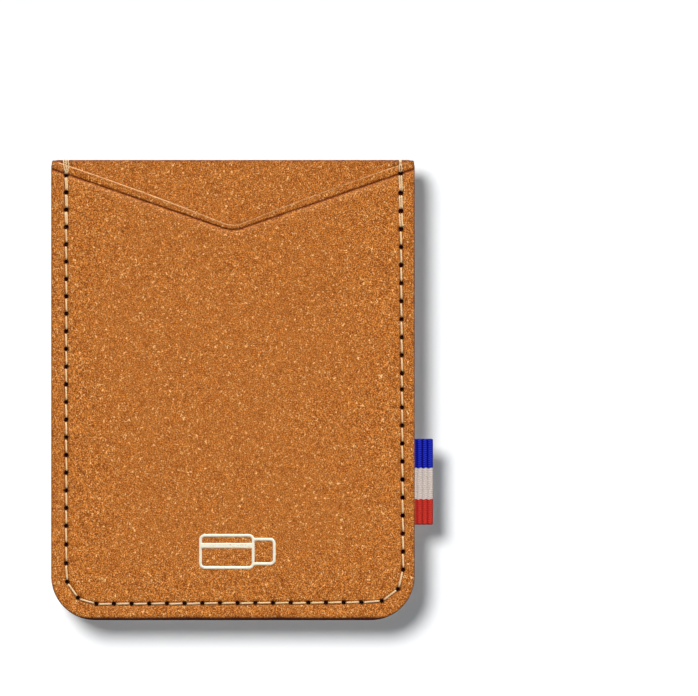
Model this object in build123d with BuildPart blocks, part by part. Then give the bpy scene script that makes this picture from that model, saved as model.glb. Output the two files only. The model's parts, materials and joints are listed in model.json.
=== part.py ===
"""Stick-on card wallet for the back of a phone, in bonded leather.

Two leather panels are sewn together along both sides and the bottom, over a U-shaped spacer that leaves a slot for
a bank card between them. A striped ribbon, folded into a loop, is caught in the right-hand seam. A double-sided
adhesive sheet on the back fastens the wallet to a phone.

Units are millimetres. Seen from the front, which faces -Y, +X is to the right and +Z is up, towards the pocket's
mouth. The origin is the centre of the adhesive's outer face. A "level" is a distance in front of that face, along
-Y. Every flat piece is drawn on Plane.XZ, whose normal is -Y, and extruded forwards from its level.
"""

from build123d import *

from itertools import accumulate
import os

os.makedirs("parts", exist_ok=True)

# ---- Driving dimensions -------------------------------------------------------------------------------------------

body_width = 62.0
body_height = 78.5
bottom_radius = 7.5  # outer corners at the bottom
top_radius = 1.2  # outer corners at the mouth

# Layers, from the back forwards
adhesive_thickness = 0.30
back_thickness = 1.10
slot_thickness = 1.00  # room for a 0.76 mm bank card
front_thickness = 1.20
edge_round = 0.25  # worn outer edge of each leather panel

# Mouth of the pocket
mouth_depth = 11.4  # how far the V falls below the top edge, before its point is rounded
mouth_radius = 5.0
mouth_bow = 0.3  # how far the middle of each arm of the V is above a straight one
crease_drop = 1.54  # pressed line below the V's edge, at the sides
crease_drop_middle = 0.80  # and at the point of the V
crease_radius = 0.32
crease_depth = 0.20

# Card slot inside the spacer
card_width = 53.98
card_corner_radius = 3.18
slot_clearance = 0.51  # on each side of the card
spacer_bottom = 3.7  # width of the spacer along the bottom edge

# Seam, which was guided by hand: its distance from the body's edges
seam_left = 2.54
seam_bottom_left = 2.70
seam_bottom_right = 3.05
seam_right_low = 1.95
seam_right_high = 2.40
seam_radius = 5.05
first_hole_drop = 2.6  # first hole, at the left, to top edge
last_hole_drop = 2.25  # last hole, at the right, to top edge
stitch_runs = (  # how many stitches, and how long compared with those along the bottom
    (8, 0.98),  # left side, downwards
    (12, 1.00),
    (3, 1.06),
    (2, 1.11),  # corner
    (15, 1.00),  # bottom
    (3, 1.16),  # corner
    (10, 1.02),  # right side, upwards
    (1, 0.91),
    (10, 1.02),
    (1, 1.13),
)
hole_length = 1.02
hole_width = 0.56
channel_width = 0.68  # shallow channel the stitches lie in
channel_depth = 0.25
thread_radius = 0.23
thread_gap = 0.01  # clearance between thread and leather
leg_offset = 0.25  # each leg of a stitch stands this far from the hole's centre, along the seam
tack_end = 0.50  # how far the thread that wraps the top edge goes into the back panel

# Ribbon loop in the right-hand seam
ribbon_height = 14.6
ribbon_bottom = 16.3  # above the body's bottom edge
ribbon_reach = 3.2  # beyond the body's side
ribbon_thickness = 0.90  # both layers
ribbon_tail = 2.85  # inside the body's side
ribbon_clearance = 0.15
ribbon_eye_length = 1.3  # small opening left at the fold
ribbon_eye_width = 0.16
flex_clearance = 0.02  # between the loop, at any angle, and the body's side

# Adhesive sheet on the back
adhesive_width = 52.0
adhesive_height = 68.0
adhesive_radius = 4.0

# Foil mark: a plain pictogram of two cards, one partly behind the other, stamped near the bottom
mark_x = 0.75
mark_z = 11.7  # centre, above the body's bottom edge
mark_width = 13.1  # both cards
near_card_width = 9.5
near_card_height = 6.0
far_card_width = 8.0
far_card_height = 4.7
mark_radius = 1.0  # outer corners of both cards
mark_line = 0.52
mark_stripe = 0.95  # width of the bar across the near card
mark_stripe_z = 1.0  # above the mark's centre
mark_recess = 0.14
foil_thickness = 0.08
foil_gap = 0.02  # between the foil and the sides of its recess

# ---- Worked out from those ----------------------------------------------------------------------------------------

half_width = body_width / 2
top = body_height / 2
bottom = -top

back_level = adhesive_thickness
slot_level = back_level + back_thickness
front_level = slot_level + slot_thickness
face_level = front_level + front_thickness
middle_level = (back_level + face_level) / 2

slot_half_width = card_width / 2 + slot_clearance
front_stitch_level = face_level - channel_depth + thread_gap + thread_radius
back_stitch_level = back_level + channel_depth - thread_gap - thread_radius
ribbon_middle = bottom + ribbon_bottom + ribbon_height / 2
ribbon_level = slot_level + slot_thickness / 2
flex_x = half_width + ribbon_thickness / 2 + flex_clearance  # bending line of the ribbon


def draw_outline():
    """The body's outline, in the active sketch: square at the top, round at the bottom corners."""
    Rectangle(body_width, body_height)
    fillet(vertices().group_by(Axis.Y)[0], bottom_radius)
    fillet(vertices().group_by(Axis.Y)[-1], top_radius)


# ---- Seam line, holes and channel ---------------------------------------------------------------------------------

with BuildLine() as seam:
    FilletPolyline(
        (seam_left - half_width, top - first_hole_drop),
        (seam_left - half_width, bottom + seam_bottom_left),
        (half_width - seam_right_low, bottom + seam_bottom_right),
        (half_width - seam_right_high, top - last_hole_drop),
        radius=seam_radius,
    )

seam_wire = seam.wire()
stitch_lengths = [length for count, length in stitch_runs for _ in range(count)]
last_hole = len(stitch_lengths)
hole_places = [run / sum(stitch_lengths) for run in accumulate(stitch_lengths, initial=0)]  # 0 to 1, along the seam
hole_points = [seam_wire.position_at(place) for place in hole_places]
hole_tangents = [seam_wire.tangent_at(place) for place in hole_places]
hole_locations = [
    Location((p.X, p.Y), Vector(1, 0, 0).get_signed_angle(t, Vector(0, 0, 1)))
    for p, t in zip(hole_points, hole_tangents)
]


def draw_holes():
    """The awl holes along the seam, in the active sketch."""
    with Locations(*hole_locations):
        SlotOverall(hole_length, hole_width)


def draw_channel():
    """The band that the stitches press into the leather, carried up over the top edge, in the active sketch."""
    with BuildLine() as band:
        Polyline(
            (hole_points[0].X, top + 1),
            *[(p.X, p.Y) for p in hole_points],
            (hole_points[-1].X, top + 1),
        )
    trace(band.edges(), line_width=channel_width)


def draw_card(width, height, gap):
    """A card as a rounded frame, in the active sketch. It is empty inside, and the gap thins it on both sides."""
    inner = mark_line - gap
    RectangleRounded(width - 2 * gap, height - 2 * gap, mark_radius - gap)
    RectangleRounded(width - 2 * inner, height - 2 * inner, mark_radius - inner, mode=Mode.SUBTRACT)


def draw_mark(gap):
    """The pictogram of two cards, drawn smaller than its recess by a gap, in the active sketch."""
    near_x = mark_x - (mark_width - near_card_width) / 2
    far_x = mark_x + (mark_width - far_card_width) / 2
    with Locations((far_x, bottom + mark_z)):
        draw_card(far_card_width, far_card_height, gap)
    with Locations((near_x, bottom + mark_z)):
        draw_card(near_card_width, near_card_height, gap)
    with Locations((near_x, bottom + mark_z + mark_stripe_z)):
        Rectangle(near_card_width - mark_line, mark_stripe - 2 * gap)


# ---- Leather ------------------------------------------------------------------------------------------------------

with BuildPart() as back_panel:
    with BuildSketch(Plane.XZ.offset(back_level)):
        draw_outline()
    extrude(amount=back_thickness)
    fillet(faces().sort_by(Axis.Y)[-1].edges(), edge_round)
    with BuildSketch(Plane.XZ.offset(back_level)):
        draw_channel()
    extrude(amount=channel_depth, mode=Mode.SUBTRACT)
    with BuildSketch(Plane.XZ.offset(back_level)):
        draw_holes()
    extrude(amount=back_thickness, mode=Mode.SUBTRACT)
back_panel.part.label = "back_panel"

with BuildPart() as seam_spacer:
    with BuildSketch(Plane.XZ.offset(slot_level)):
        draw_outline()
        with Locations((0, bottom + spacer_bottom)):
            RectangleRounded(
                2 * slot_half_width,
                body_height,
                card_corner_radius,
                align=(Align.CENTER, Align.MIN),
                mode=Mode.SUBTRACT,
            )
        with Locations((half_width - ribbon_tail - ribbon_clearance, ribbon_middle)):
            Rectangle(
                half_width,
                ribbon_height + 2 * ribbon_clearance,
                align=(Align.MIN, Align.CENTER),
                mode=Mode.SUBTRACT,
            )
    extrude(amount=slot_thickness)
    with BuildSketch(Plane.XZ.offset(slot_level)):
        draw_holes()
    extrude(amount=slot_thickness, mode=Mode.SUBTRACT)
seam_spacer.part.label = "seam_spacer"

with BuildPart() as front_panel:
    with BuildSketch(Plane.XZ.offset(front_level)):
        arm_middle = top - mouth_depth / 2 + mouth_bow
        with BuildLine():
            Polyline(
                (-half_width, bottom),
                (half_width, bottom),
                (half_width, top),
                (half_width / 2, arm_middle),
                (0, top - mouth_depth),
                (-half_width / 2, arm_middle),
                (-half_width, top),
                close=True,
            )
        make_face()
        fillet(vertices().group_by(Axis.Y)[0], bottom_radius)
        fillet(vertices().group_by(Axis.Y)[-1], top_radius)
        fillet(vertices().filter_by_position(Axis.X, -0.01, 0.01), mouth_radius)
    extrude(amount=front_thickness)
    fillet(faces().sort_by(Axis.Y)[0].edges(), edge_round)
    # the line pressed below the V's edge
    with BuildLine(Plane.XZ.offset(face_level - crease_depth + crease_radius)) as crease:
        FilletPolyline(
            (-half_width - 1, top - crease_drop),
            (-half_width, top - crease_drop),
            (0, top - mouth_depth - crease_drop_middle),
            (half_width, top - crease_drop),
            (half_width + 1, top - crease_drop),
            radius=mouth_radius,
        )
    with BuildSketch(Plane.YZ.offset(-half_width - 1)):
        with Locations((-(face_level - crease_depth + crease_radius), top - crease_drop)):
            Circle(crease_radius)
    sweep(path=crease.wire(), mode=Mode.SUBTRACT)
    with BuildSketch(Plane.XZ.offset(face_level - channel_depth)):
        draw_channel()
    extrude(amount=channel_depth, mode=Mode.SUBTRACT)
    with BuildSketch(Plane.XZ.offset(face_level - mark_recess)):
        draw_mark(0)
    extrude(amount=mark_recess, mode=Mode.SUBTRACT)
    with BuildSketch(Plane.XZ.offset(front_level)):
        draw_holes()
    extrude(amount=front_thickness, mode=Mode.SUBTRACT)
front_panel.part.label = "front_panel"


# ---- Thread -------------------------------------------------------------------------------------------------------


def thread_point(hole, side, level):
    """A point of a thread: side -1 or 1 is the leg before or after the hole's centre, along the seam."""
    foot = hole_points[hole] + hole_tangents[hole] * (side * leg_offset)
    return (foot.X, -level, foot.Y)


def over_top(hole, side, level):
    """The point where the thread turns over the top edge, straight above a leg of an end hole."""
    foot = thread_point(hole, side, level)
    return (foot[0], foot[1], top + thread_gap + thread_radius)


def stitch_points(surface_level, meeting_level):
    """The run of one thread: along the surface from hole to hole, and down into each hole and up again."""
    points = []
    for hole in range(last_hole + 1):
        points += [
            thread_point(hole, -1, surface_level),
            thread_point(hole, -1, meeting_level),
            thread_point(hole, 1, meeting_level),
            thread_point(hole, 1, surface_level),
        ]
    return points


def wrap_points(hole, side):
    """The end of the needle thread, from inside the back panel round the top edge to the front face."""
    return [
        thread_point(hole, side, back_level + tack_end),
        thread_point(hole, side, back_stitch_level),
        over_top(hole, side, back_stitch_level),
        over_top(hole, side, front_stitch_level),
    ]


needle_meeting = middle_level + thread_radius + thread_gap
bobbin_meeting = middle_level - thread_radius - thread_gap

with BuildPart() as needle_thread:
    with BuildLine() as needle_run:
        Polyline(
            *wrap_points(0, -1),
            *stitch_points(front_stitch_level, needle_meeting),
            *reversed(wrap_points(last_hole, 1)),
        )
    with BuildSketch(Plane(needle_run.line @ 0, z_dir=needle_run.line % 0)):
        Circle(thread_radius)
    sweep(path=needle_run.wire(), transition=Transition.RIGHT)
needle_thread.part.label = "needle_thread"

with BuildPart() as bobbin_thread:
    with BuildLine() as bobbin_run:
        # without the end holes' outer legs, where the needle thread's ends come in
        Polyline(*stitch_points(back_stitch_level, bobbin_meeting)[2:-2])
    with BuildSketch(Plane(bobbin_run.line @ 0, z_dir=bobbin_run.line % 0)):
        Circle(thread_radius)
    sweep(path=bobbin_run.wire(), transition=Transition.RIGHT)
bobbin_thread.part.label = "bobbin_thread"

# ---- Ribbon -------------------------------------------------------------------------------------------------------

ribbon_plane = Plane.XY.offset(ribbon_middle - ribbon_height / 2)

with BuildPart() as ribbon_tails:
    with BuildSketch(ribbon_plane):
        with Locations((half_width - ribbon_tail, -ribbon_level)):
            Rectangle(ribbon_tail, ribbon_thickness, align=(Align.MIN, Align.CENTER))
    extrude(amount=ribbon_height)
    with BuildSketch(Plane.XZ.offset(slot_level)):
        draw_holes()
    extrude(amount=slot_thickness, mode=Mode.SUBTRACT)
ribbon_tails.part.label = "ribbon_tails"

with BuildPart() as ribbon_loop:
    with BuildSketch(ribbon_plane):
        loop_start = flex_x - ribbon_thickness / 2
        loop_end = half_width + ribbon_reach
        with Locations(((loop_start + loop_end) / 2, -ribbon_level)):
            SlotOverall(loop_end - loop_start, ribbon_thickness)
        with Locations((loop_end - ribbon_thickness / 2, -ribbon_level)):
            SlotOverall(ribbon_eye_length, ribbon_eye_width, mode=Mode.SUBTRACT)
    extrude(amount=ribbon_height)
ribbon_loop.part.label = "ribbon_loop"

# ---- Adhesive and foil --------------------------------------------------------------------------------------------

with BuildPart() as adhesive_sheet:
    with BuildSketch(Plane.XZ):
        RectangleRounded(adhesive_width, adhesive_height, adhesive_radius)
    extrude(amount=adhesive_thickness)
adhesive_sheet.part.label = "adhesive_sheet"

with BuildPart() as foil_mark:
    with BuildSketch(Plane.XZ.offset(face_level - mark_recess)):
        draw_mark(foil_gap)
    extrude(amount=foil_thickness)
foil_mark.part.label = "foil_mark"

# ---- Export -------------------------------------------------------------------------------------------------------

pieces = (
    back_panel,
    seam_spacer,
    front_panel,
    needle_thread,
    bobbin_thread,
    ribbon_tails,
    ribbon_loop,
    adhesive_sheet,
    foil_mark,
)
for piece in pieces:
    export_step(piece.part, f"parts/{piece.part.label}.step")
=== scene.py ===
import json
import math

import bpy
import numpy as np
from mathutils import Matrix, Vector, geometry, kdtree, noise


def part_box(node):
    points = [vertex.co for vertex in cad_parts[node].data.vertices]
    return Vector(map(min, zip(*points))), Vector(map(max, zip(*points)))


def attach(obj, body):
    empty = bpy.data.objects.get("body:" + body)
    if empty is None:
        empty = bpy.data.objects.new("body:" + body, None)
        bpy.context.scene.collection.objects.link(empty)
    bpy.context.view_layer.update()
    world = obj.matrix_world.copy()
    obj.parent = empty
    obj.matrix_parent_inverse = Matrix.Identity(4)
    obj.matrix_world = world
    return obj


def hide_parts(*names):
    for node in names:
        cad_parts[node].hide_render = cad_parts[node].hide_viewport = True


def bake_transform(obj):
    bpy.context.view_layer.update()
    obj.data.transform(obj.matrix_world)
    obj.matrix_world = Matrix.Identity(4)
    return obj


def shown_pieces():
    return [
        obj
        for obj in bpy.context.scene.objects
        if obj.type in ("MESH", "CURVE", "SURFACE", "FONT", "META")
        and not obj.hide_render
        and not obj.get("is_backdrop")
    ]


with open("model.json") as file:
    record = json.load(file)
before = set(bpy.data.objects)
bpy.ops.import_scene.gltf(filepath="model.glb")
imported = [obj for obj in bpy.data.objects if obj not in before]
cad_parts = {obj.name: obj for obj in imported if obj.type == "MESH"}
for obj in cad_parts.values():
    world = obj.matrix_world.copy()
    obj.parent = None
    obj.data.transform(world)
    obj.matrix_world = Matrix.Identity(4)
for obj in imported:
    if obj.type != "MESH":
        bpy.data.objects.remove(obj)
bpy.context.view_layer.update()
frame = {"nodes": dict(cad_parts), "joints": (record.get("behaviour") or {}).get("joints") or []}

# Looks for the stick-on card wallet: leather, thread, ribbon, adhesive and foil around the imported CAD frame.
#
# The front faces -Y, +X is to the right and +Z is up, out of the pocket's mouth. Blender works in metres. The
# shapes below are worked out in millimetres, and add_piece() turns them into metres. A sheet is drawn in
# (x, z), and its two surfaces are y values, so that a smaller y is further forward.

METRE = 1000.0  # in millimetres


# ---- Sizes from the frame --------------------------------------------------------------


def box_mm(node):
    """The lowest and highest corners of a CAD node, in millimetres."""
    low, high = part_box(node)
    return low * METRE, high * METRE


back_low, back_high = box_mm("back_panel")
front_low, front_high = box_mm("front_panel")
tails_low, tails_high = box_mm("ribbon_tails")
loop_high = box_mm("ribbon_loop")[1]
sheet_low, sheet_high = box_mm("adhesive_sheet")
flex = next(joint for joint in frame["joints"] if joint["name"] == "ribbon_flex")
flex_x, flex_y, flex_z = (value * METRE for value in flex["pos_m"])

side = back_high.x
top = back_high.z
bottom = back_low.z
face_y = front_low.y  # outer face of the front panel
inner_front_y = front_high.y
inner_back_y = back_low.y
rear_y = back_high.y  # outer face of the back panel
middle_y = (face_y + rear_y) / 2

# ---- Sizes that the boxes don't tell ---------------------------------------------------

BOTTOM_RADIUS = 7.5
TOP_RADIUS = 1.2
MOUTH_DEPTH = 11.4
MOUTH_RADIUS = 5.0
MOUTH_BOW = 0.3  # how far each arm of the V curves up, halfway along it
CREASE_DROP = 1.54  # of the pressed line below the top, at the sides
CREASE_DROP_MIDDLE = 0.80  # of the pressed line below the V, in the middle
CREASE_DEPTH = 0.28
CREASE_ABOVE = 0.15  # how far the pressed line's upper side reaches
CREASE_BELOW = 0.34  # how far its lower side reaches
CROWN = 0.10  # how far the front panel swells out between its seams
EDGE_ROUND = 0.20  # radius of the leather's outer edges
BOTTOM_ROUND = 0.38  # of the front panel's bottom edge
MOUTH_ROUND = 0.14  # of the V-cut edge
INNER_ROUND = 0.08  # of edges inside the wallet
SLOT_HALF_WIDTH = 27.5
SPACER_BOTTOM = 3.7
ADHESIVE_RADIUS = 4.0

THREAD_RADIUS = 0.18
SEAM_LEFT = 2.54  # the seam's distances from the body's edges
SEAM_BOTTOM_LEFT = 2.70
SEAM_BOTTOM_RIGHT = 3.05
SEAM_RIGHT_LOW = 1.95
SEAM_RIGHT_HIGH = 2.40
SEAM_RADIUS = 5.05
FIRST_HOLE_DROP = 2.6
LAST_HOLE_DROP = 2.25
# How many stitches, and how long compared with those along the bottom: down the left side, along the bottom
# with its corners, and up the right side.
STITCH_RUNS = (
    *((8, 0.98), (12, 1.00), (3, 1.06)),
    *((2, 1.11), (15, 1.00), (3, 1.16)),
    *((10, 1.02), (1, 0.91), (10, 1.02), (1, 1.13)),
)
HOLE_RADIUS = 0.35
TACKED_HOLE_RADIUS = 0.39
CHANNEL_DEPTH = 0.15
CHANNEL_HALF_WIDTH = 0.32
DIMPLE_DEPTH = 0.22
DIMPLE_REACH = 0.48
TACK_STITCHES = 3  # stitches sewn twice at each end of the seam
TACK_ROOM_LEFT = 0.09  # how far the two runs of thread are moved apart, each way
TACK_ROOM_RIGHT = 0.18
MEETING_OFFSET = 0.30  # of each thread from the leather's middle, where the two threads meet in a hole
THREAD_TWIST = 1.3  # length of one turn of the plies
PLY_SHARE = 0.54  # a ply's radius, as a share of the thread's
PLY_SIDES = 8
# Painted shade: the dark colour of thread and ribbon deep in the holes and in the seam.
HOLE_SHADE = (0.060, 0.004, 0.004)  # of everything deep in the holes

RIBBON_LAYER = 0.40
FOLD_GAP = 0.04  # half the gap between the ribbon's two layers
RIB_PITCH = 0.89
RIB_HEIGHT = 0.08
RIB_SHIFT = 0.40  # of the last groove, past the start of the fold
YARN_PITCH = 0.36
BLUE_HEIGHT = 4.97  # of the upper stripe
RED_HEIGHT = 4.33  # of the lower stripe
FOIL_SPACING = 0.2  # between the points of the stamped mark


# ---- Points and outlines ---------------------------------------------------------------


def divide(points, spacing, closed):
    """The polyline with points added, so that none are further apart than the spacing."""
    points = np.asarray(points, float)
    ends = np.roll(points, -1, axis=0) if closed else points[1:]
    starts = points if closed else points[:-1]
    pieces = []
    for start, end in zip(starts, ends):
        count = max(1, math.ceil(np.linalg.norm(end - start) / spacing))
        steps = np.arange(count)[:, None] / count
        pieces.append(start + (end - start) * steps)
    if not closed:
        pieces.append(points[-1:])
    return np.vstack(pieces)


def rounded_outline(corners, spacing, closed=True):
    """A line through (x, z, radius) corners, each rounded with an arc."""
    points = []
    for i, (x, z, radius) in enumerate(corners):
        corner = Vector((x, z))
        if radius == 0 or (not closed and i in (0, len(corners) - 1)):
            points.append(corner)
            continue
        back = (Vector(corners[i - 1][:2]) - corner).normalized()
        ahead = (Vector(corners[(i + 1) % len(corners)][:2]) - corner).normalized()
        half = back.angle(ahead) / 2
        centre = corner + (back + ahead).normalized() * (radius / math.sin(half))
        first = corner + back * (radius / math.tan(half)) - centre
        last = corner + ahead * (radius / math.tan(half)) - centre
        steps = max(4, math.ceil(radius * (math.pi - 2 * half) / spacing))
        for step in range(steps + 1):
            blend = first.slerp(last, step / steps)
            points.append(centre + blend.normalized() * radius)
    return divide([tuple(p) for p in points], spacing, closed)


def normals_of(points, closed):
    """Unit normals of a line, to the left of its direction."""
    if closed:
        along = np.roll(points, -1, axis=0) - np.roll(points, 1, axis=0)
    else:
        along = np.gradient(points, axis=0)
    across = np.stack([-along[:, 1], along[:, 0]], axis=1)
    return across / np.linalg.norm(across, axis=1)[:, None]


def distance_to_line(points, line, closed):
    """Distance from each point to the nearest place on a line."""
    starts = line if closed else line[:-1]
    ends = np.roll(line, -1, axis=0) if closed else line[1:]
    along = ends - starts
    length_squared = np.maximum((along**2).sum(axis=1), 1e-12)
    result = np.empty(len(points))
    for first in range(0, len(points), 4000):
        part = points[first : first + 4000, None, :] - starts[None]
        share = np.clip((part * along).sum(axis=2) / length_squared, 0, 1)
        gap = part - along * share[..., None]
        result[first : first + 4000] = np.sqrt((gap**2).sum(axis=2).min(axis=1))
    return result


def nearest(points, targets):
    """Distance from each point to the nearest target point."""
    tree = kdtree.KDTree(len(targets))
    for i, (x, z) in enumerate(targets):
        tree.insert((x, z, 0), i)
    tree.balance()
    return np.array([tree.find((x, z, 0))[2] for x, z in points])


def vee(x, drop_side, drop_middle, radius):
    """Height of a V-shaped line that falls from the sides to the middle, with its point rounded."""
    slope = (drop_middle - drop_side) / side
    reach = radius * math.sin(math.atan(slope))
    straight = top - drop_middle + slope * np.abs(x)
    at_reach = top - drop_middle + slope * reach
    arc = at_reach + math.sqrt(radius**2 - reach**2) - np.sqrt(radius**2 - np.minimum(np.abs(x), reach) ** 2)
    return np.where(np.abs(x) > reach, straight, arc)


def bow(x):
    """How far the V's arms are above straight ones."""
    share = np.abs(x) / side
    return MOUTH_BOW * 4 * share * np.clip(1 - share, 0, 1)


def mouth_height(x):
    """Height of the V-cut edge of the front panel."""
    return vee(x, 0, MOUTH_DEPTH, MOUTH_RADIUS) + bow(x)


def crease_height(x):
    """Height of the line pressed below the mouth."""
    return vee(x, CREASE_DROP, MOUTH_DEPTH + CREASE_DROP_MIDDLE, MOUTH_RADIUS)


def body_outline(spacing, mouth=False):
    """The leather's outline, anticlockwise from the bottom left, with a straight or a V-shaped top."""
    corners = [(-side, bottom, BOTTOM_RADIUS), (side, bottom, BOTTOM_RADIUS), (side, top, TOP_RADIUS)]
    if mouth:
        corners.append((0, top - MOUTH_DEPTH, MOUTH_RADIUS))
    corners.append((-side, top, TOP_RADIUS))
    outline = rounded_outline(corners, spacing)
    if mouth:
        outline[:, 1] += np.where(outline[:, 1] > top - MOUTH_DEPTH - 1, bow(outline[:, 0]), 0)
    return outline


def seam_holes():
    """Places of the needle's holes, from the top left, round the bottom, to the top right."""
    line = rounded_outline(
        [
            (SEAM_LEFT - side, top - FIRST_HOLE_DROP, 0),
            (SEAM_LEFT - side, bottom + SEAM_BOTTOM_LEFT, SEAM_RADIUS),
            (side - SEAM_RIGHT_LOW, bottom + SEAM_BOTTOM_RIGHT, SEAM_RADIUS),
            (side - SEAM_RIGHT_HIGH, top - LAST_HOLE_DROP, 0),
        ],
        0.02,
        closed=False,
    )
    run = np.concatenate([[0], np.cumsum(np.linalg.norm(np.diff(line, axis=0), axis=1))])
    lengths = np.concatenate([np.full(count, length) for count, length in STITCH_RUNS])
    places = run[-1] * np.concatenate([[0], np.cumsum(lengths)]) / lengths.sum()
    return np.stack([np.interp(places, run, line[:, 0]), np.interp(places, run, line[:, 1])], axis=1)


holes = seam_holes()
from_end = np.minimum(np.arange(len(holes)), np.arange(len(holes))[::-1])
hole_radii = np.where(from_end <= TACK_STITCHES, TACKED_HOLE_RADIUS, HOLE_RADIUS)
seam_line = np.vstack([[holes[0][0], top], holes, [holes[-1][0], top]])


def hole_gap(points):
    """Distance from each point to the rim of the nearest hole, less than 0 inside it."""
    radii = (TACKED_HOLE_RADIUS, HOLE_RADIUS)
    return np.minimum(*(nearest(points, holes[hole_radii == radius]) - radius for radius in radii))


def ripple(points, scale, seed):
    """Smooth noise from -1 to 1 at each (x, z) point, with features about `scale` across."""
    return np.array([noise.noise(Vector((x / scale, seed, z / scale))) for x, z in points])


# ---- Sheets ----------------------------------------------------------------------------

RIM_RINGS = (0.05, 0.12, 0.22, 0.36, 0.52, 0.70)  # depths of the rows of points that shape a rounded edge


def add_piece(name, points, faces):
    """A smooth-shaded mesh object from points in millimetres."""
    mesh = bpy.data.meshes.new(name)
    mesh.from_pydata((np.asarray(points, float) / METRE).tolist(), [], faces)
    mesh.validate()
    mesh.shade_smooth()
    piece = bpy.data.objects.new(name, mesh)
    bpy.context.scene.collection.objects.link(piece)
    return piece


def set_attribute(piece, name, values):
    """A number on each point of the mesh, for its material to read."""
    layer = piece.data.attributes.new(name, "FLOAT", "POINT")
    layer.data.foreach_set("value", np.asarray(values, np.float32))


def hex_grid(spacing):
    """Points all over the body, in staggered rows, so that they make nearly equilateral triangles."""
    rows = []
    for i, z in enumerate(np.arange(bottom, top, spacing * 0.866)):
        x = np.arange(-side, side, spacing) + (i % 2) * spacing / 2
        rows.append(np.stack([x, np.full(len(x), z)], axis=1))
    return np.vstack(rows)


def keep_apart(groups):
    """Joins groups of (points, least gap), leaving out points too near to a point of an earlier group."""
    kept = groups[0][0]
    for points, gap in groups[1:]:
        kept = np.vstack([kept, points[nearest(points, kept) > gap]])
    return kept


def triangulate(outline, openings, extra_groups, spacing):
    """Triangles that fill an outline, without its openings. Returns the points and the triangles."""
    loops = [outline] + openings
    edges = []
    first = 0
    for loop in loops:
        edges += [(first + i, first + (i + 1) % len(loop)) for i in range(len(loop))]
        first += len(loop)
    inward = normals_of(outline, closed=True)
    rings = [outline + inward * depth for depth in RIM_RINGS]
    groups = [(np.vstack(loops), 0), (np.vstack(rings), 0.035)] + extra_groups
    groups.append((hex_grid(spacing), spacing * 0.6))
    points = keep_apart(groups)
    inputs = [Vector(p) for p in points]
    found, _, triangles, *_ = geometry.delaunay_2d_cdt(inputs, edges, [], 1, 1e-7)
    points = np.array([tuple(p) for p in found])
    triangles = np.array(triangles)
    if openings:
        triangles = triangles[hole_gap(points[triangles].mean(axis=1)) > -0.01]
    used, triangles = np.unique(triangles, return_inverse=True)
    return points[used], triangles.reshape(-1, 3)


def boundary_edges(triangles):
    """Edges with a triangle on one side only, in that triangle's direction."""
    edges = np.vstack([triangles[:, [0, 1]], triangles[:, [1, 2]], triangles[:, [2, 0]]])
    known = {tuple(edge) for edge in edges.tolist()}
    return [edge for edge in edges.tolist() if (edge[1], edge[0]) not in known]


def sheet(name, points, triangles, front_y, back_y, wall_rows=4, roughness=0.0):
    """A closed sheet: the triangles as its front and its back, and walls round every edge and hole."""
    count = len(points)
    front = np.stack([points[:, 0], front_y, points[:, 1]], axis=1)
    back = np.stack([points[:, 0], back_y, points[:, 1]], axis=1)
    start, second, third = points[triangles[0]]
    anticlockwise = np.cross(second - start, third - start) > 0
    forwards = triangles if anticlockwise else triangles[:, ::-1]
    faces = forwards.tolist() + (forwards[:, ::-1] + count).tolist()
    edges = boundary_edges(forwards)
    rim = sorted({i for edge in edges for i in edge})
    rows = [dict(zip(rim, rim))]
    vertices = [front, back]
    total = 2 * count
    outward = {}
    for a, b in edges:
        along = points[b] - points[a]
        for i in (a, b):
            outward[i] = outward.get(i, 0) + np.array([along[1], -along[0]])
    for row in range(1, wall_rows + 1):
        share = row / (wall_rows + 1)
        ring = []
        for i in rim:
            away = outward[i] / np.linalg.norm(outward[i])
            y = front_y[i] + (back_y[i] - front_y[i]) * share
            shift = roughness * noise.noise(Vector((points[i][0] * 2.1, y * 3.0, points[i][1] * 2.1)))
            ring.append((points[i][0] + away[0] * shift, y, points[i][1] + away[1] * shift))
        rows.append({i: total + k for k, i in enumerate(rim)})
        vertices.append(np.array(ring))
        total += len(rim)
    rows.append({i: i + count for i in rim})
    for upper, lower in zip(rows[:-1], rows[1:]):
        faces += [(upper[b], upper[a], lower[a], lower[b]) for a, b in edges]
    return add_piece(name, np.vstack(vertices), faces)


def rim_drop(distance, radius):
    """How far a rounded edge falls below the surface, by distance from the outline."""
    inside = np.clip(radius - distance, 0, radius)
    return radius - np.sqrt(radius**2 - inside**2)


# ---- Leather ---------------------------------------------------------------------------


def hole_loop(centre, radius, count):
    """A circle of points."""
    angles = np.arange(count) * 2 * math.pi / count
    return centre + radius * np.stack([np.cos(angles), np.sin(angles)], axis=1)


def hole_loops():
    """Outlines of the needle's holes."""
    return [hole_loop(hole, radius, 14) for hole, radius in zip(holes, hole_radii)]


def seam_groups():
    """Extra points round the holes and beside the seam, for the dimples and the channel of the stitches."""
    rings = []
    for hole, radius in zip(holes, hole_radii):
        rings += [hole_loop(hole, radius + grow, 16) for grow in (0.09, 0.22, 0.40)]
    line = divide(seam_line, 0.25, closed=False)
    across = normals_of(line, closed=False)
    offsets = (0, -0.18, 0.18, -0.3, 0.3, -0.42, 0.42, -0.6, 0.6, -0.9, 0.9)
    bands = [line + across * offset for offset in offsets]
    return [(np.vstack(rings), 0.07), (np.vstack(bands), 0.09)]


def stitch_relief(points):
    """How far the leather is pulled in by the stitches."""
    from_seam = distance_to_line(points, seam_line, closed=False)
    channel = CHANNEL_DEPTH * np.exp(-((from_seam / CHANNEL_HALF_WIDTH) ** 4))
    dimple = DIMPLE_DEPTH * np.exp(-((nearest(points, holes) / DIMPLE_REACH) ** 2))
    return channel + dimple


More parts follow.
